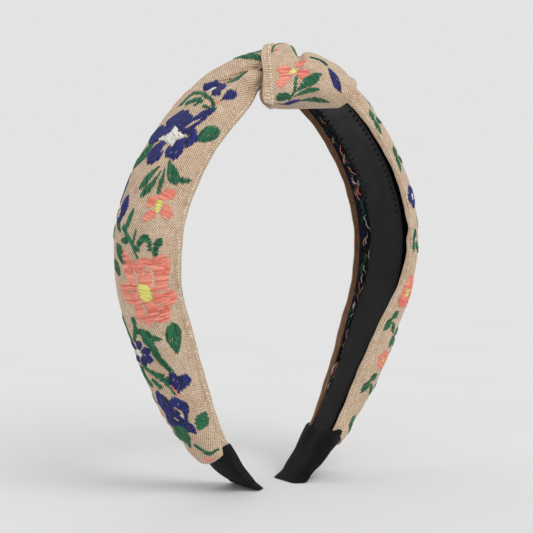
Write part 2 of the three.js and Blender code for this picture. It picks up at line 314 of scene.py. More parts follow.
def full_turn(count):
    """Angles in equal steps round a section."""
    return np.linspace(0, 2 * np.pi, count, endpoint=False)


def squarish(angle, half_width, half_height, power):
    """A section between an ellipse (power 2) and a rectangle (a high power)."""
    def flatten(value):
        return np.sign(value) * np.abs(value) ** (2 / power)

    return half_width * flatten(np.cos(angle)), half_height * flatten(np.sin(angle))


def on_knot(share, angle, out=0.0):
    """Points on the knot: share from its left edge to its right end, angle round the hoop from
    the back (0) over the top (a quarter turn) to the front (half a turn), and out from it."""
    share, angle, out = as_arrays(share, angle, out)
    half = sizes_at(0.0)[0]
    up = np.maximum(np.sin(angle), 0)
    top = KNOT_ABOVE + (KNOT_ABOVE_RIGHT - KNOT_ABOVE) * share**2
    reach = np.where(up > 0, top, KNOT_BELOW)
    across, above = squarish(angle, KNOT_HALF_DEPTH, 1.0, 2.5)
    above = above * reach
    front_top = bump(angle, 2.0, 0.85)
    crease = KNOT_CREASE_DEPTH * front_top * bump(share, KNOT_CREASE_AT + 0.03 * np.cos(angle), 0.036)
    hollow = KNOT_HOLLOW_DEPTH * up * bump(share, KNOT_CREASE_AT, 0.15)
    gathers = 0.3 * np.sin(22 * share + 3 * np.sin(angle)) * up + 0.25 * np.sin(3 * angle + 9 * share)
    folds = 0.5 * np.sin(5 * angle + 4 * share) * ease(share, 0.5, 0.95)
    scale = 1 + (gathers + folds - crease - hollow + out) / np.hypot(across, above)
    right = np.clip(2 * share - 1, 0, 1)
    left = np.clip(1 - 2 * share, 0, 1)
    swell = np.sqrt(np.maximum(1 - right**2.3, 0)) * (1 - 0.1 * left**3)
    end_across, end_above = squarish(angle, half + KNOT_LIP, KNOT_END_HEIGHT, 2.6)
    across = end_across * (1 - swell) + across * scale * swell
    above = (KNOT_END_MIDDLE + end_above) * (1 - swell) + above * scale * swell
    cuff = ease(angle, 0.8 * np.pi, 1.08 * np.pi) * (1 - ease(angle, 1.25 * np.pi, 1.6 * np.pi))
    edge = knot_edge(across) - KNOT_CUFF * cuff
    along = edge + (KNOT_RIGHT - edge) * share
    points = on_band(1, along, across, above)
    points[..., 2] = np.maximum(points[..., 2], KNOT_UNDERSIDE - out)
    return points


# ---------------------------------------------------------------- meshes
def make_mesh(name, points, faces, looks, uv=None, looks_of_faces=None, sharp=50, tone=None):
    mesh = bpy.data.meshes.new(name)
    mesh.from_pydata((np.asarray(points).reshape(-1, 3) * MM).tolist(), [], faces)
    mesh.polygons.foreach_set("use_smooth", [True] * len(mesh.polygons))
    for look in looks:
        mesh.materials.append(look)
    if looks_of_faces is not None:
        mesh.polygons.foreach_set("material_index", looks_of_faces)
    if uv is not None:
        corners = np.empty(len(mesh.loops), int)
        mesh.loops.foreach_get("vertex_index", corners)
        layer = mesh.uv_layers.new(name="millimetres")
        layer.data.foreach_set("uv", np.asarray(uv, float).reshape(-1, 2)[corners].ravel())
    if tone is not None:
        layer = mesh.attributes.new("tone", "FLOAT", "POINT")
        layer.data.foreach_set("value", np.asarray(tone, float).ravel())
    mesh.set_sharp_from_angle(angle=math.radians(sharp))
    mesh.update()
    piece = bpy.data.objects.new(name, mesh)
    bpy.context.scene.collection.objects.link(piece)
    return piece


def grid_faces(rows, columns, start=0, closed=False, flip=False):
    """The quads of a grid of vertices; closed joins its last column to its first."""
    faces = []
    for i in range(rows - 1):
        for j in range(columns if closed else columns - 1):
            k = (j + 1) % columns
            quad = (start + i * columns + j, start + i * columns + k,
                    start + (i + 1) * columns + k, start + (i + 1) * columns + j)
            faces.append(quad[::-1] if flip else quad)
    return faces


def shell(name, outer, inner, looks, uv, closed=False):
    """A sheet with an outer and an inner face, given as two grids of points, and a look each."""
    rows, columns = outer.shape[:2]
    count = rows * columns
    faces = grid_faces(rows, columns, 0, closed)
    skin = len(faces)
    faces += grid_faces(rows, columns, count, closed, flip=True)
    rims = []
    for i, turned in ((0, False), (rows - 1, True)):
        rim = [i * columns + j for j in range(columns)]
        rims.append((rim + rim[:1] if closed else rim, turned))
    if not closed:
        for j, turned in ((0, True), (columns - 1, False)):
            rims.append(([i * columns + j for i in range(rows)], turned))
    for rim, turned in rims:
        for a, b in zip(rim, rim[1:]):
            quad = (a, count + a, count + b, b)
            faces.append(quad[::-1] if turned else quad)
    looks_of_faces = [0] * skin + [1] * skin + [0] * (len(faces) - 2 * skin)
    points = np.concatenate([outer.reshape(-1, 3), inner.reshape(-1, 3)])
    coordinates = np.concatenate([uv.reshape(-1, 2)] * 2)
    return make_mesh(name, points, faces, looks, coordinates, looks_of_faces)


def capped_faces(rows, columns, start=0):
    """The faces of a body through closed rings of vertices, capped at both ends."""
    first = tuple(range(start, start + columns))
    last = tuple(range(start + (rows - 1) * columns, start + rows * columns))
    return grid_faces(rows, columns, start, closed=True) + [first[::-1], last]


def loft(name, rings, looks, uv=None, sharp=50):
    """A closed body through rings of points, capped at both ends."""
    return make_mesh(name, rings, capped_faces(*rings.shape[:2]), looks, uv, sharp=sharp)


def mesh_outward(piece):
    """Turns every closed part of a mesh so that its faces point out."""
    work = bmesh.new()
    work.from_mesh(piece.data)
    bmesh.ops.recalc_face_normals(work, faces=work.faces)
    work.to_mesh(piece.data)
    work.free()


# ---------------------------------------------------------------- materials
BUMP_STRENGTH = 0.7
WEAVE_PITCH = 0.68
WEAVE_BIAS = math.radians(38)
WEAVE_DEPTH = 0.2


def srgb(*channels):
    """A colour from its red, green and blue on the usual 0 to 255 scale."""
    linear = [((v / 255 + 0.055) / 1.055) ** 2.4 if v > 10 else v / 3294 for v in channels]
    return (*linear, 1.0)


class Look:
    """A small helper that wires a procedural material."""

    def __init__(self, name, roughness=0.8, sheen=0.0, specular=0.3):
        self.material = bpy.data.materials.new(name)
        self.material.use_nodes = True
        self.nodes = self.material.node_tree.nodes
        self.links = self.material.node_tree.links
        self.shader = self.nodes["Principled BSDF"]
        self.shader.inputs["Roughness"].default_value = roughness
        self.shader.inputs["Sheen Weight"].default_value = sheen
        self.shader.inputs["Specular IOR Level"].default_value = specular

    def node(self, kind, inputs={}, **settings):
        """Adds a node, whose inputs are either linked from a socket or set to a value."""
        node = self.nodes.new("ShaderNode" + kind)
        for key, value in settings.items():
            setattr(node, key, value)
        for key, value in inputs.items():
            if isinstance(value, bpy.types.NodeSocket):
                self.links.new(value, node.inputs[key])
            else:
                node.inputs[key].default_value = value
        return node

    def mapped(self, scale=(1, 1, 1), turn=0.0, in_space=False):
        """Millimetres of the ribbon's own map, or of space, turned and scaled."""
        source = self.node("TexCoord").outputs["Object" if in_space else "UV"]
        if in_space:
            inputs = {0: source, 1: (1 / MM,) * 3}
            source = self.node("VectorMath", inputs, operation="MULTIPLY").outputs[0]
        return self.node("Mapping", {0: source, 2: (0, 0, turn), 3: scale}).outputs[0]

    def noise(self, vector, scale, detail=2.0):
        inputs = {"Vector": vector, "Scale": scale, "Detail": detail}
        return self.node("TexNoise", inputs).outputs[0]

    def bands(self, vector, pitch, direction, distortion):
        """Stripes whose full period is the pitch."""
        scale = math.pi / 10 / pitch
        inputs = {"Vector": vector, "Scale": scale, "Distortion": distortion, "Detail": 1.0}
        return self.node("TexWave", inputs, bands_direction=direction).outputs["Fac"]

    def ramp(self, factor, stops):
        node = self.node("ValToRGB", {0: factor})
        while len(node.color_ramp.elements) < len(stops):
            node.color_ramp.elements.new(0.5)
        for element, (place, colour) in zip(node.color_ramp.elements, stops):
            element.position = place
            element.color = colour
        return node.outputs[0]

    def mix(self, factor, a, b):
        return self.node("Mix", {0: factor, 6: a, 7: b}, data_type="RGBA").outputs[2]

    def sum(self, a, b, kind="ADD"):
        return self.node("Math", {0: a, 1: b}, operation=kind).outputs[0]

    def finish(self, colour, height=None, depth=0.1, roughness=None):
        self.links.new(colour, self.shader.inputs["Base Color"])
        if roughness is not None:
            self.links.new(roughness, self.shader.inputs["Roughness"])
        if height is not None:
            inputs = {"Strength": BUMP_STRENGTH, "Distance": depth * MM, "Height": height}
            self.links.new(self.node("Bump", inputs).outputs[0], self.shader.inputs["Normal"])
        return self.material


def woven(name, dark, middle, light):
    """A plain weave of threads that cross, with lighter and darker threads in it."""
    look = Look(name, roughness=0.86, sheen=0.12, specular=0.2)
    bias = look.mapped(turn=WEAVE_BIAS)
    lengthwise = look.bands(bias, WEAVE_PITCH, "X", 0.9)
    crosswise = look.bands(bias, WEAVE_PITCH, "Y", 0.9)
    weave = look.sum(lengthwise, crosswise, "MULTIPLY")
    gaps = look.sum(look.sum(lengthwise, crosswise), 0.5, "MULTIPLY")
    streaks = look.noise(look.mapped((0.25, 2.2, 1)), 1.1, 2.0)
    cross_streaks = look.noise(look.mapped((2.2, 0.25, 1)), 1.1, 2.0)
    blotches = look.noise(look.mapped(), 0.1, 2.0)
    uneven = look.sum(look.sum(streaks, cross_streaks), look.sum(blotches, 0.5, "MULTIPLY"))
    share = look.sum(look.sum(uneven, 0.36, "MULTIPLY"), look.sum(gaps, 0.5, "MULTIPLY"))
    colour = look.ramp(share, [(0.38, dark), (0.68, middle), (0.96, light)])
    height = look.sum(weave, look.sum(streaks, 0.5, "MULTIPLY"))
    return look.finish(colour, height, WEAVE_DEPTH)


def reverse_of_ribbon():
    """The ribbon's reverse: dark ground with the slanting floats of the embroidery threads."""
    look = Look("ribbon_reverse", roughness=0.9, sheen=0.08, specular=0.15)
    slant = look.mapped((0.3, 1.7, 1), WEAVE_BIAS)
    other = look.mapped((0.28, 1.5, 1), math.radians(-47))
    ground = [(0.35, srgb(20, 19, 24)), (0.62, srgb(44, 41, 48))]
    colour = look.ramp(look.noise(slant, 1.2, 3.0), ground)
    strands = [
        (slant, 0.62, srgb(30, 36, 92)),
        (other, 0.63, srgb(20, 74, 50)),
        (slant, 0.69, srgb(150, 72, 52)),
        (other, 0.715, srgb(190, 190, 150)),
    ]
    for k, (vector, limit, dye) in enumerate(strands):
        offset = look.node("Mapping", {0: vector, 1: (31.0 * k, 17.0 * k, 0)}).outputs[0]
        inputs = {0: look.noise(offset, 0.9, 1.0), 1: limit, 2: limit + 0.02}
        colour = look.mix(look.node("MapRange", inputs).outputs[0], colour, dye)
    height = look.sum(look.noise(slant, 2.5, 2.0), look.noise(other, 2.5, 2.0))
    return look.finish(colour, height, 0.3)


def floss(name, dye, light):
    """Lustrous embroidery floss whose strands differ a little in tone."""
    look = Look(name, roughness=0.5, sheen=0.08, specular=0.38)
    tone = look.node("Attribute", attribute_name="tone").outputs["Fac"]
    fleck = look.noise(look.mapped(in_space=True), 3.5, 2.0)
    share = look.sum(tone, look.sum(fleck, 0.35, "MULTIPLY"))
    colour = look.ramp(share, [(0.15, dye), (1.15 / 1.2, light)])
    twist = look.noise(look.mapped(in_space=True), 6.0, 2.0)
    return look.finish(colour, twist, 0.08)


def plain(name, dark, light, roughness, grain, depth, specular=0.3, sheen=0.0, ribs=0.0):
    """A moulded or felted surface: two close tones, a fine grain and, if asked, fine ribs."""
    look = Look(name, roughness=roughness, sheen=sheen, specular=specular)
    broad = look.noise(look.mapped(in_space=True), 0.16, 3.0)
    fine = look.noise(look.mapped(in_space=True), grain, 2.0)
    share = look.sum(look.sum(broad, 0.7, "MULTIPLY"), look.sum(fine, 0.3, "MULTIPLY"))
    colour = look.ramp(share, [(0.3, dark), (0.7, light)])
    height = fine
    if ribs:
        height = look.sum(fine, look.sum(look.bands(look.mapped(), ribs, "Y", 0.8), 2.0, "MULTIPLY"))
    worn = look.node("MapRange", {0: broad, 1: 0.3, 2: 0.7, 3: roughness - 0.08, 4: roughness + 0.08})
    return look.finish(colour, height, depth, worn.outputs[0])


RIBBON_LOOK = woven("ribbon_weave", srgb(112, 80, 54), srgb(202, 170, 140), srgb(248, 233, 212))
HEM_LOOK = woven("hem_weave", srgb(112, 80, 54), srgb(200, 168, 138), srgb(246, 231, 210))
# The hem's reverse: a darker brown weave, partly the cloth's own reverse and partly painted shade for the
# hem's inner side.
HEM_REVERSE_AND_SHADE_LOOK = woven("hem_reverse_and_painted_shade", srgb(70, 46, 30), srgb(138, 98, 70), srgb(178, 140, 108))
REVERSE_LOOK = reverse_of_ribbon()
STITCH_LOOK = floss("hem_stitch", srgb(206, 182, 152), srgb(244, 232, 210))
HOOP_LOOK = plain("black_plastic", srgb(5, 5, 6), srgb(11, 11, 13), 0.5, 3.0, 0.02, specular=0.25)
FOAM_LOOK = plain("dark_foam", srgb(15, 14, 17), srgb(27, 26, 30), 0.92, 2.2, 0.25)
SLEEVE_LOOK = plain("black_sleeve", srgb(5, 5, 6), srgb(13, 13, 15), 0.8, 2.6, 0.22, specular=0.2,
                    sheen=0.03, ribs=0.9)
DYES = {
    "navy": floss("floss_navy", srgb(8, 14, 66), srgb(26, 40, 130)),
    "green": floss("floss_green", srgb(8, 66, 40), srgb(36, 122, 80)),
    "coral": floss("floss_coral", srgb(222, 104, 86), srgb(255, 172, 150)),
    "yellow": floss("floss_yellow", srgb(214, 202, 84), srgb(248, 244, 150)),
    "white": floss("floss_white", srgb(206, 206, 200), srgb(250, 248, 240)),
}


# ---------------------------------------------------------------- embroidery outlines
# An outline is a run of points (along, over) on the ribbon. A heading of 0 runs down the leg and
# 90 towards the front edge.
def petal(root, tip, width, widest=0.5, bend=0.0, blunt=0.0):
    """A petal or leaf from root to tip, widest at that share of its length."""
    root, tip = np.array(root, float), np.array(tip, float)
    axis = tip - root
    side = np.array([-axis[1], axis[0]]) / np.hypot(*axis)
    t = np.linspace(0, 1, 15)
    half = width / 2 * np.sin(np.pi * t ** (math.log(0.5) / math.log(widest))) ** 0.8
    half = np.maximum(half, width / 2 * blunt * np.clip(4 * t, 0, 1))
    middle = root + t[:, None] * axis + (bend * np.sin(np.pi * t))[:, None] * side
    return np.vstack([middle + half[:, None] * side, (middle - half[:, None] * side)[::-1]])


def stem(points, width, end_width=None):
    """A band through a few points that may change in width."""
    points = np.array(points, float)
    knots = np.arange(len(points))
    t = np.linspace(0, len(points) - 1, 6 * len(points))
    middle = np.stack([smooth(t, knots, points[:, k]) for k in (0, 1)], axis=1)
    heading = np.gradient(middle, axis=0)
    heading /= np.hypot(*heading.T)[:, None]
    side = np.stack([-heading[:, 1], heading[:, 0]], axis=1)
    half = np.linspace(width, end_width or width, len(t))[:, None] / 2
    return np.vstack([middle + half * side, (middle - half * side)[::-1]])


def disc(middle, along, over, turn=0):
    a = np.radians(np.arange(0, 360, 24))
    c, s = math.cos(math.radians(turn)), math.sin(math.radians(turn))
    x, y = along * np.cos(a), over * np.sin(a)
    return np.stack([middle[0] + x * c - y * s, middle[1] + x * s + y * c], axis=1)


def spikes(middle, tips, waist):
    """A star through its tips, drawn in to the waist between them."""
    middle, tips = np.array(middle, float), np.array(tips, float)
    outline = []
    for k, tip in enumerate(tips):
        between = (tip + tips[(k + 1) % len(tips)]) / 2 - middle
        outline += [tip, middle + between / np.hypot(*between) * waist]
    return np.array(outline)


# A motif is a list of fills: (dye, thread heading, outlines) and, if any, cuts that stay bare.
def star_flower():
    petals = [
        petal((60, 6), (46.5, 3), 12, 0.66, blunt=0.35),
        petal((56, 8), (41, 14.5), 4.4, 0.45, bend=-0.5),
        petal((58, 6), (55, 16.3), 9, 0.62, blunt=0.3),
        petal((58, 7), (65.5, 12.5), 7, 0.66, blunt=0.3),
        petal((57, 5), (69.5, 2), 8, 0.66, bend=-0.5),
        petal((58, 6), (57, -10), 8, 0.62, blunt=0.2),
    ]
    heart = spikes((58, 6.5), [(53.3, 4.3), (56, 12.3), (61.5, 9.5), (59.5, -0.6)], 2.7)
    slits = [petal((48.5, 12.5), (53.5, 9), 1.1), petal((59.5, 6.5), (65, 5), 1.1)]
    return [
        ("navy", 0, petals, [heart] + slits),
        ("white", 60, [heart]),
        ("green", 0, [petal((61, -1.5), (70.5, -10), 7, 0.4)]),
        ("green", 0, [disc((51, 18.8), 4.2, 3, -30), petal((56.5, 16.5), (49, 19.4), 5, 0.5)]),
    ]


def five_leaves():
    leaves = [
        petal((66.5, 10), (78, 3), 3.2, 0.72, bend=-0.8),
        petal((67, 10), (80.5, 4.6), 3.4, 0.76, bend=0.9),
        petal((69, 10.3), (78.5, 12), 1.7, 0.6),
        petal((65.5, 10), (73.5, 17.3), 4.6, 0.66),
        petal((71, 15.5), (69.5, 22), 2.6, 0.5, bend=-0.8),
    ]
    return [("green", 20, leaves)]


def small_flower():
    petals = [
        disc((77.3, 15.4), 1.9, 3.3, 25),
        disc((80.3, 10.6), 1.7, 2.8, 40),
        disc((84.8, 10.8), 1.6, 2.9, 30),
        disc((82.6, 16.4), 2.2, 2.9, -30),
    ]
    heart = disc((81.6, 13.3), 2.1, 1.5)
    return [("coral", 80, petals, [heart]), ("yellow", 90, [heart])]


def bud_and_stem():
    curl = [
        stem([(88.5, -1.5), (91, 1.5), (94, 5.5), (98, 8)], 1.6, 1.1),
        stem([(93.5, 5.2), (89.5, 6.2)], 1.1, 0.9),
        petal((93, 3.5), (92.5, -1.8), 2.2),
    ]
    return [
        ("navy", 0, [petal((89, -5.4), (79.5, -2.6), 5.8, 0.64, blunt=0.2)]),
        ("green", 0, [petal((91, 0), (83, 3.2), 2.6), petal((91, -2), (86, -8.6), 2)]),
        ("green", 35, curl),
        ("green", 90, [stem([(95.4, 7.6), (92.4, 8.6), (91.5, 10.6), (92.4, 12.3), (95, 12.7)], 2.1)]),
        ("green", 90, [stem([(97.3, 15), (93.5, 15), (91.8, 17.4)], 2.6)]),
        ("green", 40, [petal((93.5, -5.2), (100, 3), 4.2), petal((98.5, -8.2), (103, -1.2), 3.6, 0.55)]),
    ]


def big_flower():
    petals = [
        petal((106, 8), (94.8, -0.8), 5.6, 0.42, blunt=0.15),
        petal((108, 11), (97, 19), 8.4, 0.7, blunt=0.55),
        disc((102.5, 10.5), 5.2, 5.2),
        disc((104.5, 16), 4.4, 3.4),
        petal((108, 9), (111.3, 22), 6, 0.7, blunt=0.55),
        petal((108, 10), (118, 16.5), 8, 0.66, blunt=0.3),
        petal((108, 9), (118.6, 8.8), 4.2, 0.6),
        petal((107, 8), (117, 4.6), 3.4, 0.6),
        petal((109, 9), (106.4, -3.2), 6, 0.5, blunt=0.1),
    ]
    heart = petal((105, 7.6), (110.2, 12.2), 5, 0.55, blunt=0.3)
    slits = [
        petal((100.5, 6.3), (105.5, 8.3), 1.1),
        stem([(106.5, 13.6), (103.5, 14), (100.8, 12.8), (101, 10.8), (102.5, 10.3)], 0.7),
        petal((108.4, 13), (108, 18.5), 1),
        petal((107.3, 1.5), (107.3, 5.8), 0.8),
        petal((110.5, 8.6), (115.5, 9), 0.8),
        petal((111, 12.5), (112.8, 16.5), 0.8),
    ]
    return [("coral", 90, petals, [heart] + slits), ("yellow", 80, [heart])]


def leaves_below():
    large = [
        petal((118.7, 5.6), (127.5, 7.4), 5, 0.4, blunt=0.2),
        petal((121.5, 7), (124.6, 11.6), 2.4),
        stem([(126, 7.2), (132, 8.4), (139, 11.2)], 3.2, 1.4),
    ]
    small = [
        stem([(115, -6.5), (119, -5), (124, -3.2)], 2.3, 1.8),
        stem([(114.5, 2.3), (118, 2.4), (124, -1)], 1.8, 2),
        petal((120.5, 1.5), (118.7, 5.4), 2),
    ]
    return [
        ("green", -8, [petal((119.5, 17.2), (132.5, 15.2), 6.3, 0.36, blunt=0.2)]),
        ("green", 30, small),
        ("green", 20, large),
    ]


def small_star():
    places = [(123, 2.2), (127, 6.2), (132.5, 5.8), (135, 0.8), (133.6, -5), (124, -5.5)]
    heart = disc((128.8, -0.9), 1.8, 1.9)
    petals = [petal((128.8, -0.6), place, 3.8, 0.7, blunt=0.3) for place in places]
    return [("navy", 20, petals, [heart]), ("white", 90, [heart])]


def scroll():
    curls = [
        stem([(135, -2), (137.5, -2.6), (141, -1.4), (144, 0.4)], 2.6, 2.2),
        stem([(134.6, -0.6), (136.5, 2), (138.5, 5), (139.5, 7.8)], 1.9, 2.4),
        petal((138, 4), (142, 8), 3),
        stem([(140.5, 1.5), (142, 3.5), (144.5, 4.6)], 1.7, 1.9),
        petal((139.5, 9), (144.5, 7), 2.1),
        stem([(142, 8), (145, 8.4), (148.5, 9)], 1.2, 1),
    ]
    return [("green", 20, curls, [stem([(137, -0.6), (139.5, 2), (140.5, 5.5)], 0.5)])]


def low_flower():
    upper = [petal((149, 10.4), (138, 10.8), 4.2, 0.6), petal((148, 11), (142, 16.2), 6.6, 0.66, blunt=0.3)]
    lower = [
        petal((160, 5), (145.8, 1.6), 7.4, 0.6, bend=0.8, blunt=0.25),
        petal((158, 6), (148.8, 8.4), 5.6, 0.62, blunt=0.3),
        petal((160, 7), (151, 10.2), 5.4, 0.6),
        disc((157.5, 4.8), 5, 4.8),
        petal((157, 7), (167, 8.4), 4.2, 0.6, bend=-0.9, blunt=0.25),
        petal((156, 4), (162.6, 0.6), 5.4, 0.6, blunt=0.3),
    ]
    slits = [stem([(153.5, 6), (156, 7.6), (159, 7.2)], 0.7, 1), petal((157.8, 3.4), (160, 5.6), 0.8)]
    end = [
        stem([(171.5, 4.2), (175, 5.4), (177.8, 6.6)], 1.2, 1.9),
        stem([(177.5, 6.2), (176.8, 10)], 1.5, 1),
    ]
    return [
        ("navy", 0, upper),
        ("navy", 0, lower, slits),
        ("coral", 0, [stem([(142.8, 8.9), (146.5, 9.4), (149.8, 10.4)], 0.9)]),
        ("white", 20, [petal((156.3, 6.4), (159, 8.2), 0.9)]),
        ("green", 50, [petal((166, 9.6), (160.4, 16.6), 6.2, 0.52, blunt=0.1)]),
        ("green", 0, [petal((160.5, 4), (173.6, 0.9), 6.2, 0.36, blunt=0.2)]),
        ("green", 20, end),
        ("coral", 60, [stem([(179.5, 3), (180.2, 6)], 2, 1.4)]),
    ]


def crown_scroll():
    curls = [
        stem([(45, -1.5), (41.5, -1.6), (38.6, 0.2), (38, 4.5)], 2.4, 2.1),
        stem([(44, 1), (42, 3.6), (41, 7)], 2.6, 2.6),
        stem([(38, 3.6), (39.2, 8), (40.4, 12), (43.6, 14.6)], 2.1, 1.2),
        stem([(41, 8), (44.2, 6)], 2.1, 1.6),
        stem([(43.4, 9.6), (42.8, 13)], 1.7, 1.2),
    ]
    tips = [(34, 1.6), (30.5, 5), (32, 11.5), (37, 12)]
    petals = [petal((35, 7), tip, 4, 0.66, blunt=0.3) for tip in tips]
    heart = disc((35, 7), 1.5, 1.4)
    return [
        ("navy", 0, petals, [heart]),
        ("white", 90, [heart]),
        ("green", 30, curls),
        ("coral", 90, [petal((40.6, 12.9), (38.9, 13.9), 1.2)]),
        ("navy", 30, [petal((39.2, 13.8), (31.8, 15.8), 4.4, 0.7, blunt=0.2)]),
        ("green", 20, [petal((31, 10), (23, 15.6), 3.4, 0.4)]),
        ("green", 70, [petal((19.5, -1), (9.5, 8.5), 6, 0.5), petal((20, 1), (14.5, 13.5), 4, 0.5)]),
        ("green", 40, [petal((12, -15), (3, -8), 4.6)]),
    ]


SPRIG_SIZE = 1.1
SPRIG_LEAVES = [((-4.5, -1), (-0.5, 1.6), 2.8), ((-1, 1), (5.5, 2.6), 3.2), ((0, 0), (4.4, -4), 2.6)]
BLOOM_PETALS = 5
BLOOM_TURN = 0.4
BLOOM_HEART = 0.24


def sprig(along, over):
    """A leafy spray for the parts of the cloth between the flowers."""
    scale = (SPRIG_SIZE, SPRIG_SIZE if over >= 0 else -SPRIG_SIZE)
    middle = np.array([along, over], float)
    leaves = [petal(middle + np.multiply(root, scale), middle + np.multiply(tip, scale), width * SPRIG_SIZE)
              for root, tip, width in SPRIG_LEAVES]
    return [("green", 40, leaves)]


def bloom(along, over, dye, reach):
    """A round flower of a few petals with a heart of another dye."""
    coral = dye == "coral"
    heart = disc((along, over), reach * BLOOM_HEART, reach * BLOOM_HEART)
    petals = []
    for k in range(BLOOM_PETALS):
        a = BLOOM_TURN + 2 * math.pi * k / BLOOM_PETALS
        tip = (along + reach * math.cos(a), over + reach * math.sin(a))
        petals.append(petal((along, over), tip, reach * 0.85, 0.66, blunt=0.3))
    return [(dye, 90 if coral else 0, petals, [heart]), ("yellow" if coral else "white", 80, [heart])]


# Blooms are (along, over, dye, reach) and leaves (along, over), for each side's own cloth.
FRONT_MOTIFS = (star_flower, five_leaves, small_flower, bud_and_stem, big_flower, leaves_below,
                small_star, scroll, low_flower, crown_scroll)
BLOOMS = {
    -1: [(38, -12, "coral", 5.6), (76, -15.5, "navy", 6.4), (100, -17, "yellow", 3.4),
         (118, -14, "coral", 6), (139, -14, "navy", 5), (158, -7, "coral", 3.6)],
    1: [(76, 18, "navy", 4.8), (113, 17, "coral", 7), (143, 13, "coral", 4.6), (49, 2, "coral", 7),
        (74, -4, "navy", 7), (99, -8, "yellow", 3.8), (94, 5, "coral", 6), (122, -5, "navy", 6.4),
        (58, -15, "navy", 5), (112, -15, "coral", 5), (140, -6, "coral", 5), (154, 3, "navy", 4.6),
        (36, 8, "navy", 4.6), (32, -10, "coral", 5)],
}
SPRIGS = {
    -1: [(54, -17), (64, -16), (88, -14), (108, -19), (128, -14.5), (149, -8.5), (166, -6), (30, -18)],
    1: [(39, 19), (58, 19), (93, 20.5), (126, 18.5), (154, 13.5), (62, 6), (84, 10), (108, 3), (134, 4),
        (166, 0), (44, -16), (70, -17), (88, -18), (126, -15), (149, -12), (164, -8), (86, -9), (131, 11)],
}


def leg_motifs(side):
    """All the embroidery on a leg: the near leg's front flowers, then its blooms and sprigs."""
    if side < 0:
        motifs = [fill for motif in FRONT_MOTIFS for fill in motif()]
    else:
        motifs = [("green", 30, [petal((177, 6), (168.6, 10.6), 4)])]
    for place in BLOOMS[side]:
        motifs += bloom(*place)
    for place in SPRIGS[side]:
        motifs += sprig(*place)
    return motifs


# ---------------------------------------------------------------- embroidery threads
STRAND_PITCH = 0.46
STRAND_WIDTH = 0.56
STRAND_HEIGHT = 0.3
STRAND_STEP = 1.3
STRAND_LENGTHS = (3.2, 7.5)
STRAND_TAPER = 0.45
STRAND_DIP = 0.12
RAGGED = 0.38
SHORTEST_SPAN = 0.7
SHORTEST_STRAND = 1.2
STRAND_SECTION = [(-0.5, 0.0), (-0.36, 0.75), (0.0, 1.0), (0.36, 0.75), (0.5, 0.0)]


def crossings(outline, row):
    """Where a line at height row crosses an outline, in order."""
    a, b = outline, np.roll(outline, -1, axis=0)
    cross = (a[:, 1] > row) != (b[:, 1] > row)
    a, b = a[cross], b[cross]
    return sorted(a[:, 0] + (row - a[:, 1]) / (b[:, 1] - a[:, 1]) * (b[:, 0] - a[:, 0]))


def pairs(outlines, row):
    """The stretches of a line that lie in each outline, in order."""
    found = []
    for outline in outlines:
        ends = crossings(outline, row)
        found += zip(ends[::2], ends[1::2])
    return sorted(found)


def spans(outlines, cuts, row):
    """The stretches of a line that lie in any outline and in no cut."""
    joined = []
    for start, end in pairs(outlines, row):
        if joined and start <= joined[-1][1] + 0.1:
            joined[-1][1] = max(joined[-1][1], end)
        else:
            joined.append([start, end])
    for cut_start, cut_end in pairs(cuts, row):
        pieces = []
        for start, end in joined:
            if cut_end <= start or cut_start >= end:
                pieces.append([start, end])
            else:
                pieces += [[start, cut_start], [cut_end, end]]
        joined = [piece for piece in pieces if piece[1] > piece[0]]
    return [(start, end) for start, end in joined if end - start > SHORTEST_SPAN]


def strands_of(fill):
    """The threads of one fill, as runs of points (along, over)."""
    a = math.radians(fill[1])
    turned = np.array([[math.cos(a), -math.sin(a)], [math.sin(a), math.cos(a)]])
    flat = [outline @ turned for outline in fill[2]]
    holes = [cut @ turned for cuts in fill[3:] for cut in cuts]
    low = min(outline[:, 1].min() for outline in flat)
    high = max(outline[:, 1].max() for outline in flat)
    runs = []
    for row in np.arange(low + STRAND_PITCH / 2, high, STRAND_PITCH):
        for start, end in spans(flat, holes, row):
            ragged = min(RAGGED, 0.13 * (end - start))
            start += random.uniform(-ragged, ragged)
            end += random.uniform(-ragged, ragged)
            while end - start > 0.5:
                stop = min(end, start + random.uniform(*STRAND_LENGTHS))
                if end - stop < SHORTEST_STRAND:
                    stop = end
                count = max(3, math.ceil((stop - start) / STRAND_STEP) + 1)
                shift = random.uniform(-0.06, 0.06)
                lean = np.linspace(-0.5, 0.5, count) * random.uniform(-0.25, 0.25)
                run = np.stack([np.linspace(start, stop, count), row + shift + lean], axis=1)
                runs.append(run @ turned.T)
                start = stop - 0.15
                if stop == end:
                    break
    return runs


def stitch(name, runs, place, look, rule, width=STRAND_WIDTH, height=STRAND_HEIGHT, lift=0.02):
    """Lays each run of points on a surface as a flattened thread whose ends go into the cloth."""
    if not runs:
        return
    points, faces, tones = [], [], []
    section = np.array(STRAND_SECTION)
    count = len(section)
    steps_laid = 0
    for run in runs:
        steps = len(run)
        t = np.linspace(0, 1, steps)
        heading = np.gradient(run, axis=0)
        heading /= np.maximum(np.hypot(*heading.T), 1e-6)[:, None]
        side = np.stack([-heading[:, 1], heading[:, 0]], axis=1)
        is_end = ((t < 0.001) | (t > 0.999))[:, None]
        taper = np.where(is_end, STRAND_TAPER, 1.0)
        strand_lift = lift + random.uniform(0, 0.09)
        flat = run[:, None, :] + side[:, None, :] * (section[:, 0] * width * taper)[..., None]
        out = strand_lift + section[:, 1] * height * taper - STRAND_DIP * is_end
        laid = place(flat[..., 0], flat[..., 1], out)
        points.append(laid.reshape(-1, 3))
        faces += capped_faces(steps, count, steps_laid * count)
        steps_laid += steps
        tones.append(np.full(steps * count, random.random() * 0.8))
    piece = make_mesh(name, np.concatenate(points), faces, [look], tone=np.concatenate(tones), sharp=80)
    settle(piece, rule)


# ---------------------------------------------------------------- how the pieces ride
HINGE_START = 24
NAMES = {-1: "left", 1: "right"}


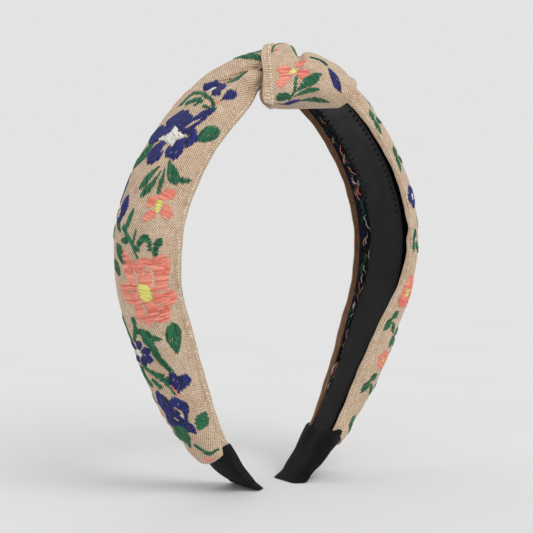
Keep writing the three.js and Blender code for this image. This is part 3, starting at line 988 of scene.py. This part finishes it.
def follow_leg():
    """The rule for cloth that leaves the knot: its transform is baked into its mesh."""

    def rule(piece):
        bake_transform(piece)
    return rule


def ride(body):
    """The rule for a piece that moves with one body."""
    def rule(piece):
        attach(piece, body)
    return rule


def settle(piece, rule, replaced=None):
    """Turns a piece's faces outward, says what it rides on and hides the part it replaces."""
    mesh_outward(piece)
    rule(piece)
    if replaced:
        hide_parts(replaced)
    return piece


# ---------------------------------------------------------------- ribbon, hems, hoop and sleeves
RIBBON_THICKNESS = 0.8
RIBBON_ROWS = 330
RIBBON_COLUMNS = 84
END_ROUND = 3.6
KNOT_OVERLAP = 6.0
HEM_ACROSS = 17.0  # about where the hems lie across the band at the knot
HEM_ROWS = 420
HEM_SAMPLE_ROW = 200  # the ring that sets the cloth's map round the hem
HEM_REACH = 1.7
HEM_PROUD = 0.22
RETURN = {-1: 0.5, 1: 0.8}  # how far the front and the back hem turn in
SHADED_REVERSE_FROM = 6  # the place round the hem from which its reverse shows, darkened with painted shade
FLUTTER = 0.8


def ribbon_start(side, across):
    """Where the ribbon starts, a little inside the knot."""
    if side > 0:
        return np.full_like(across, KNOT_RIGHT - KNOT_OVERLAP)
    return -(knot_edge(across) + KNOT_OVERLAP)


def make_cover(side):
    turn = np.linspace(0, 1, RIBBON_COLUMNS)[None, :]
    share = np.linspace(0, 1, RIBBON_ROWS)[:, None]
    start = ribbon_start(side, -HEM_ACROSS * np.cos(np.pi * turn))
    end = COVER_END + 0.6 - END_ROUND * np.cos(np.pi * turn) ** 2 + 0.4 * np.sin(3.1 * np.pi * turn)
    along = start + (end - start) * share
    over = half_ribbon(np.abs(along)) * (1 - 2 * turn)
    outer = on_ribbon(side, along, over)
    inner = on_ribbon(side, along, over, -RIBBON_THICKNESS)
    looks = [RIBBON_LOOK, REVERSE_LOOK]
    piece = shell(NAMES[side] + "_ribbon", outer, inner, looks, np.stack([along, over], axis=-1))
    return settle(piece, follow_leg(), NAMES[side] + "_cover")


def hem_wave(side, edge, along):
    """The hem's slight waves, larger where the far leg's front hem flutters."""
    wave = 0.18 * np.sin(along / 4.3 + side + edge) + 0.12 * np.sin(along / 1.7 + 2 * edge)
    if side > 0 and edge < 0:
        wave = wave + FLUTTER * bump(along, 90, 9) * np.sin(along / 1.9)
    return wave


def make_hem(side, edge):
    """A turned-under hem along one edge; edge -1 is the front one."""
    start = ribbon_start(side, np.array([edge * HEM_ACROSS]))[0]
    along = np.linspace(start, SLEEVE_START + 2.2, HEM_ROWS)
    half = sizes_at(along)[0]
    reach = half_ribbon(np.abs(along))
    wave = hem_wave(side, edge, along)
    turned_in = RETURN[edge]
    lip = [(HEM_REACH, 0.02), (HEM_REACH - 0.2, HEM_PROUD), (0.9, HEM_PROUD + 0.1), (0.35, HEM_PROUD + 0.05)]
    low = [(0.3, 0.95), (0.1, 0.35), (-0.5, 0.05), (-turned_in, 0.1), (-turned_in - 0.05, 0.6), (-0.75, 1.2)]
    rings = [on_ribbon(side, along, -edge * (reach - back), out) for back, out in lip]
    rings += [on_cloth(side, along, edge * (half + out + wave), above) for out, above in low]
    rings.append(on_ribbon(side, along, -edge * (reach - 1.1), -RIBBON_THICKNESS - 0.2))
    ring = np.stack(rings, axis=1)
    ring[:, 1:4, 1] += edge * wave[:, None] * 0.6
    steps = np.linalg.norm(np.diff(ring[HEM_SAMPLE_ROW], axis=0), axis=1)
    around = np.concatenate([[0], np.cumsum(steps)])
    uv = np.stack(np.broadcast_arrays(along[:, None], around[None, :]), axis=-1)
    name = f"{NAMES[side]}_{'front' if edge < 0 else 'back'}_hem"
    piece = loft(name + "_cloth", ring, [HEM_LOOK, HEM_REVERSE_AND_SHADE_LOOK], uv)
    columns = ring.shape[1]
    # The inner faces round the hem take the darker reverse look, which holds painted shade.
    for k in range((HEM_ROWS - 1) * columns):
        piece.data.polygons[k].material_index = int(k % columns >= SHADED_REVERSE_FROM)
    return settle(piece, follow_leg(), name)


STITCH_PITCH = 1.15
STITCH_HALF = 0.46
STITCH_SHOULDER = 0.2
STITCH_INSET = 0.2
STITCH_HEIGHT = 0.42


def bead(along, over, half, lean):
    """One stitch as a run of four points."""
    places = (-half, -STITCH_SHOULDER, STITCH_SHOULDER, half)
    return np.array([(along + place, over + tilt) for place, tilt in zip(places, (-lean, 0, 0, lean))])


def make_hem_stitches(side):
    """Beads of light thread that hold each hem down, one after another."""
    runs = []
    for edge in (-1, 1):
        start = ribbon_start(side, np.array([edge * HEM_ACROSS]))[0] + KNOT_OVERLAP
        for along in np.arange(start, SLEEVE_START + 1.4, STITCH_PITCH):
            over = -edge * (half_ribbon(abs(along)) - STITCH_INSET + random.uniform(-0.1, 0.1))
            half = STITCH_HALF + random.uniform(-0.05, 0.06)
            runs.append(bead(along, over, half, random.uniform(-0.1, 0.1)))
    stitch(NAMES[side] + "_hem_stitches", runs, partial(on_ribbon, side), STITCH_LOOK, follow_leg(),
           0.76, STITCH_HEIGHT, HEM_PROUD + 0.02)


HOOP_NARROWER = 0.7
HOOP_SHIFT = 0.9


def hoop_shift(along):
    """Where the hoop lies closer to the front hem, 0 to 1."""
    return ease(along, 66, 104) * (1 - ease(along, 150, 172))


def make_hoop(side):
    along = np.linspace(HINGE_START + 3.5, LEG_LENGTH - 9, 220)
    half_hem, _, _, rise = sizes_at(along)
    shift = HOOP_SHIFT * hoop_shift(along)
    half = np.minimum(HOOP_HALF_WIDTH - HOOP_NARROWER, half_hem - HEM_AND_GAP) - shift
    across, above = squarish(full_turn(28)[None, :], half[:, None], HOOP_THICKNESS / 2, 5)
    across = across - shift[:, None]
    ring = on_band(side, along[:, None], across, rise[:, None] + HOOP_THICKNESS / 2 + above)
    settle(loft(NAMES[side] + "_hoop_strip", ring, [HOOP_LOOK]), follow_leg())


TOOTH_PITCH = 2.6
TOOTH_INSET = 2.8
TEETH_LENGTH = 52
TOOTH_PROFILE = ((-0.2, 0.7), (0.35, 0.55), (0.6, 0.32), (0.7, 0.1))  # drop and half width
TOOTH_SIDES = 10
TOOTH_ALONG = 0.42
TOOTH_ACROSS = 0.85


def make_teeth(side):
    """Two rows of small comb teeth on the face of the hoop that lies on the head."""
    points, faces = [], []
    for along in np.arange(MOUTH + 5, MOUTH + 5 + TEETH_LENGTH, TOOTH_PITCH):
        half_hem, _, _, rise = sizes_at(float(along))
        half = min(HOOP_HALF_WIDTH, float(half_hem) - HEM_AND_GAP)
        for row in (-1, 1):
            middle = row * (half - TOOTH_INSET)
            faces += capped_faces(len(TOOTH_PROFILE), TOOTH_SIDES, len(points))
            for drop, wide in TOOTH_PROFILE:
                for a in full_turn(TOOTH_SIDES):
                    ahead = along + TOOTH_ALONG * wide * math.cos(a)
                    across = middle + TOOTH_ACROSS * wide * math.sin(a)
                    points.append(on_band(side, ahead, across, float(rise) - drop))
    piece = make_mesh(NAMES[side] + "_hoop_teeth", points, faces, [HOOP_LOOK])
    settle(piece, follow_leg(), NAMES[side] + "_hoop")


def make_padding(side):
    """The dark foam that fills the arch over the hoop."""
    along = np.linspace(HINGE_START + 14, SLEEVE_START - 2, 150)
    half_hem, crest, _, rise = sizes_at(along)
    half = np.minimum(HOOP_HALF_WIDTH - 0.4, half_hem - HEM_AND_GAP - 0.5)
    half = half - 2 * HOOP_SHIFT * hoop_shift(along)
    angle = full_turn(36)[None, :]
    bottom = rise + HOOP_THICKNESS + 0.1
    top = np.maximum(crest - RIBBON_THICKNESS - 1.6, bottom + 0.8)
    half_height = ((top - bottom) / 2)[:, None]
    across, above = squarish(angle, half[:, None], half_height, 2.4)
    narrow = 1 - 0.22 * (above > 0) * (above / half_height) ** 2
    uneven = 0.15 * np.sin(along[:, None] / 5 + 3 * angle)
    ring = on_band(side, along[:, None], across * narrow + uneven, ((top + bottom) / 2)[:, None] + above)
    piece = loft(NAMES[side] + "_foam", ring, [FOAM_LOOK])
    settle(piece, follow_leg(), NAMES[side] + "_padding")


SLEEVE_PROUD = 0.9
SLEEVE_UNDER = 0.9
SLEEVE_SAG = 1.8
SLEEVE_SIDE = 1.8
SLEEVE_CUFF = 3.4
SLEEVE_FLARE = 1.3
SLEEVE_RIBBED_ROUND = 50
FLOOR_GAP = 0.02


def make_sleeve(side):
    """The ribbed sleeve that closes the end of a leg down to its flat toe."""
    share = np.linspace(0, 1, 90)[:, None]
    turn = np.linspace(0, 1, 49)[None, :]
    reach = SLEEVE_START + SLEEVE_LENGTH * share
    half, crest, _, _ = sizes_at(reach)
    flare = SLEEVE_FLARE * (1 - ease(share, 0.05, 0.45))
    ankle = 1 + 0.05 * bump(share, 0.25, 0.16) - 0.13 * bump(share, 0.8, 0.11)
    wide = (half + SLEEVE_PROUD + 0.35 * flare) * ankle
    pucker = 0.22 * np.sin(reach / 0.9 + 4 * turn) * np.sin(np.pi * turn) * (0.4 + 0.6 * (1 - share))
    thin = 1 - 0.5 * ease(share, 0.72, 1)
    top_across = -wide * np.cos(np.pi * turn)
    top_rise = crest + SLEEVE_PROUD - SLEEVE_SIDE + pucker
    top_above = SLEEVE_SIDE * thin + thin * top_rise * np.sin(np.pi * turn) ** 0.9
    under = turn[:, 1:-1]
    low_across = wide * np.cos(np.pi * under) * 0.985
    ruffle = flare * (0.8 + 0.3 * np.sin(7 * np.pi * under))
    low_above = -SLEEVE_UNDER - ruffle - SLEEVE_SAG * np.sin(np.pi * share) * np.sin(np.pi * under)
    low_above = low_above + (SLEEVE_SIDE + SLEEVE_UNDER) * np.abs(np.cos(np.pi * under)) ** 8
    across = np.concatenate([top_across, low_across], axis=1)
    above = np.concatenate([top_above, low_above], axis=1)
    foot = LEG_LENGTH - above / math.tan(TIP_LEAN)
    cuff = SLEEVE_CUFF * np.sin(np.pi * under) ** 0.5
    cuff = cuff + 0.7 * np.sin(7 * np.pi * under) * np.sin(np.pi * under)
    start = SLEEVE_START + np.concatenate([np.zeros_like(turn), cuff], axis=1)
    along = start + (foot - start) * share
    ring = on_band(side, along, across, above)
    ring[..., 2] = np.maximum(ring[..., 2], FLOOR_GAP)
    around = np.linspace(0, SLEEVE_RIBBED_ROUND, ring.shape[1])[None, :]
    uv = np.stack(np.broadcast_arrays(along, around), axis=-1)
    piece = loft(NAMES[side] + "_sleeve", ring, [SLEEVE_LOOK], uv, sharp=40)
    settle(piece, ride(NAMES[side] + "_leg"), NAMES[side] + "_tip_sleeve")


def embroider(name, fills, place, rule):
    """Lays the threads of each dye in turn."""
    for dye, look in DYES.items():
        runs = [run for fill in fills if fill[0] == dye for run in strands_of(fill)]
        stitch(f"{name}_{dye}_embroidery", runs, place, look, rule)


# ---------------------------------------------------------------- the knot and its core
KNOT_THICKNESS = 1.3
KNOT_CLOTH_LENGTH = 34
KNOT_CLOTH_RADIUS = 17
KNOT_HEM_PROFILE = ((0.0, -1.5), (-0.035, -0.6), (-0.035, 0.2), (-0.01, 0.5), (0.045, 0.5), (0.085, 0.42),
                    (0.095, -0.1))  # share along the knot and distance out from it
KNOT_HEM_LENGTH = 30
KNOT_HEM_WIDTH = 6


def make_knot():
    share = np.linspace(0, 1, 120)[:, None] ** 0.92
    angle = full_turn(200)[None, :]
    outer = on_knot(share, angle)
    inner = on_knot(share, angle, -KNOT_THICKNESS)
    inner[..., 2] = np.maximum(inner[..., 2], KNOT_UNDERSIDE + 1)
    uv = np.stack(np.broadcast_arrays(share * KNOT_CLOTH_LENGTH, angle * KNOT_CLOTH_RADIUS), axis=-1)
    piece = shell("knot_ribbon", outer, inner, [RIBBON_LOOK, REVERSE_LOOK], uv, closed=True)
    return settle(piece, ride("crown"), "knot_wrap")


def make_knot_hem():
    """The folded hem round the knot's left edge."""
    angle = full_turn(260)
    rings = []
    for share, out in KNOT_HEM_PROFILE:
        beyond = np.array([min(share, 0) * KNOT_HEM_LENGTH, 0, 0])
        rings.append(on_knot(max(share, 0), angle, out) + beyond)
    rings = np.stack(rings, axis=1)
    rows, columns = rings.shape[:2]
    faces = [tuple(vertex % (rows * columns) for vertex in face)
             for face in grid_faces(rows + 1, columns, closed=True)]
    across = np.linspace(0, KNOT_HEM_WIDTH, columns)[None, :]
    uv = np.stack(np.broadcast_arrays(angle[:, None] * KNOT_CLOTH_RADIUS, across), axis=-1)
    return settle(make_mesh("knot_hem", rings, faces, [HEM_LOOK], uv), ride("crown"))


def on_knot_cloth(share_run, round_run, out):
    """The knot in millimetres: from its left edge, and round it from the top towards the front."""
    share = np.clip(share_run / KNOT_CLOTH_LENGTH, 0, 1)
    return on_knot(share, np.pi / 2 + round_run / KNOT_CLOTH_RADIUS, out)


def make_knot_stitches():
    places = np.arange(-26, 80, STITCH_PITCH)
    runs = [bead(place, 2.0, STITCH_HALF, 0)[:, ::-1] for place in places]
    stitch("knot_hem_stitches", runs, on_knot_cloth, STITCH_LOOK, ride("crown"), 0.72,
           STITCH_HEIGHT, 0.5)


def knot_motifs():
    """The flower, its leaves and the threads of the knot, as (from its left edge, round it)."""
    heart = petal((8.4, 22.2), (12.2, 22.8), 1.8, blunt=0.4)
    petals = [
        petal((10.4, 22), (4.2, 18.9), 3.2, 0.6, blunt=0.4),
        petal((10.8, 23.2), (4.2, 24.6), 4.4, 0.6, blunt=0.4),
        petal((10.8, 21.8), (14.4, 16.6), 3.2, 0.6, blunt=0.3),
        petal((10.8, 22.8), (16.2, 24.9), 3.6, 0.6, blunt=0.3),
    ]
    leaves = [
        stem([(11.7, 24.6), (10.9, 29), (9, 34)], 1.7, 1.3),
        petal((10.2, 31), (20.4, 24), 4, 0.62),
        petal((9.4, 33), (21.2, 30.2), 3.6, 0.62),
        petal((9.8, 33), (3.7, 27), 4, 0.5),
        stem([(15.5, 15), (18.6, 16.6), (21.5, 19.3)], 1.5),
        stem([(3.4, 10), (3.8, 5), (6.2, 0.6)], 1.2),
        stem([(10, 3), (11, 8.5), (11.7, 14.5)], 1.4, 1),
        petal((6, -14), (16, -9), 4.4),
        petal((18, -14), (26, -20), 4.4),
        petal((13.5, 38.6), (28, 36.6), 4, 0.5),
    ]
    spots = [stem([(7.2, 5), (7.6, 1.6), (10.4, 1.2), (11, 4.6)], 0.9), disc((4.6, 9.4), 0.9, 0.8)]
    blue = [petal((21.6, 20), (29, 28.6), 3.4), petal((3.6, 35.2), (15, 38.4), 4)]
    return [
        ("coral", 20, petals, [heart]),
        ("yellow", 0, [heart]),
        ("green", 40, leaves),
        ("coral", 60, spots),
        ("navy", 40, blue),
    ] + bloom(12, -22, "navy", 5) + bloom(22, -7, "coral", 4)


CORE_HALF_LENGTH = 25
CORE_HALF_WIDTH = 14.0
CORE_HALF_HEIGHT = 2.6
CORE_ABOVE_HOOP = 3.2
CORE_CLOTH_RADIUS = 9


def make_core():
    """The gathered ribbon inside the knot, creased lengthwise."""
    along = np.linspace(-CORE_HALF_LENGTH, CORE_HALF_LENGTH, 60)[:, None]
    angle = full_turn(64)[None, :]
    rise = sizes_at(np.abs(along))[3]
    across, above = squarish(angle, CORE_HALF_WIDTH, CORE_HALF_HEIGHT, 2.6)
    creases = 1 + 0.07 * np.sin(9 * angle + along / 6)
    ring = on_band(1, along, across * creases, rise + HOOP_THICKNESS + CORE_ABOVE_HOOP + above * creases)
    uv = np.stack(np.broadcast_arrays(along, angle * CORE_CLOTH_RADIUS), axis=-1)
    settle(loft("knot_core_ribbon", ring, [RIBBON_LOOK], uv), ride("crown"), "knot_core")


FLOATS_PER_LEG = 260


def on_reverse(side, along, over, out):
    """Points on the reverse of a leg's ribbon, out from it towards the head."""
    return on_ribbon(side, along, over, -RIBBON_THICKNESS - out)


def make_floats(side):
    """Loose thread floats on the reverse, seen inside a leg."""
    dyes = {"coral": [], "green": [], "white": [], "navy": []}
    names = list(dyes)
    t = np.linspace(0, 1, 6)
    for _ in range(FLOATS_PER_LEG):
        along = random.uniform(34, 158)
        over = random.choice((-1, 1)) * random.uniform(14.5, 21.0)
        lean = random.uniform(-2.6, 2.6)
        length = random.uniform(2.5, 6)
        run = np.stack([along + length * t, over + lean * t + 0.4 * np.sin(9 * t)], axis=1)
        dyes[random.choice(names)].append(run)
    for dye, runs in dyes.items():
        stitch(f"{NAMES[side]}_{dye}_floats", runs, partial(on_reverse, side), DYES[dye],
               follow_leg(), 0.5, 0.25, 0.05)


for side in (-1, 1):
    ribbon = make_cover(side)
    hems = [make_hem(side, edge) for edge in (-1, 1)]
    make_hem_stitches(side)
    make_hoop(side)
    make_teeth(side)
    make_padding(side)
    make_sleeve(side)
    embroider(NAMES[side], leg_motifs(side), partial(on_ribbon, side), follow_leg())
    make_floats(side)
knot = make_knot()
knot_hem = make_knot_hem()
make_knot_stitches()
embroider("knot", knot_motifs(), on_knot_cloth, ride("crown"))
make_core()
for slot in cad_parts["hoop_crown"].material_slots:
    slot.material = HOOP_LOOK

# ---------------------------------------------------------------- camera, light and floor
CAMERA_AZIMUTH = math.radians(-39.71)
CAMERA_ELEVATION = math.radians(4.17)
CAMERA_ROLL = math.radians(1.63)
CAMERA_DISTANCE = 549.7
CAMERA_TARGET = (-2.7, 2.25, 88.84)
CAMERA_LENS = 91.44
CAMERA_SENSOR = 36
BACKDROP = srgb(227, 227, 227)
FLOOR_LIGHT = srgb(229, 229, 229)
FLOOR_HALF_SIZE = 9000
FLOOR_DROP = 0.3
SUN_ENERGY = 0.95
SUN_SPREAD = math.radians(34)
SUN_HEADING = (-0.1, 0.82, -0.95)


def make_camera():
    az, el = CAMERA_AZIMUTH, CAMERA_ELEVATION
    back = Vector((math.sin(az) * math.cos(el), -math.cos(az) * math.cos(el), math.sin(el)))
    level = Vector((math.cos(az), math.sin(az), 0))
    upright = back.cross(level)
    right = level * math.cos(CAMERA_ROLL) + upright * math.sin(CAMERA_ROLL)
    up = upright * math.cos(CAMERA_ROLL) - level * math.sin(CAMERA_ROLL)
    camera = bpy.data.objects.new("camera", bpy.data.cameras.new("camera"))
    camera.data.lens = CAMERA_LENS
    camera.data.sensor_width = CAMERA_SENSOR
    camera.data.clip_start = 0.01
    turn = Matrix((right, up, back)).transposed().to_4x4()
    place = (Vector(CAMERA_TARGET) + back * CAMERA_DISTANCE) * MM
    camera.matrix_world = Matrix.Translation(place) @ turn
    bpy.context.scene.collection.objects.link(camera)
    bpy.context.scene.camera = camera


def make_studio():
    world = bpy.data.worlds.new("studio")
    world.use_nodes = True
    background = world.node_tree.nodes["Background"]
    background.inputs["Color"].default_value = BACKDROP
    background.inputs["Strength"].default_value = 1.0
    bpy.context.scene.world = world
    sun = bpy.data.objects.new("key", bpy.data.lights.new("key", "SUN"))
    sun.data.energy = SUN_ENERGY
    sun.data.angle = SUN_SPREAD
    sun.rotation_euler = Vector(SUN_HEADING).to_track_quat("-Z", "Y").to_euler()
    bpy.context.scene.collection.objects.link(sun)
    look = Look("pale_floor", roughness=1.0, specular=0.0)
    grain = look.noise(look.mapped(in_space=True), 0.01, 2.0)
    material = look.finish(look.ramp(grain, [(0.3, BACKDROP), (0.7, FLOOR_LIGHT)]))
    corners = [(x * FLOOR_HALF_SIZE, y * FLOOR_HALF_SIZE, -FLOOR_DROP)
               for x, y in ((-1, -1), (1, -1), (1, 1), (-1, 1))]
    floor = make_mesh("floor", corners, [(0, 1, 2, 3)], [material])
    bpy.context.scene.view_settings.view_transform = "Standard"


make_camera()
make_studio()
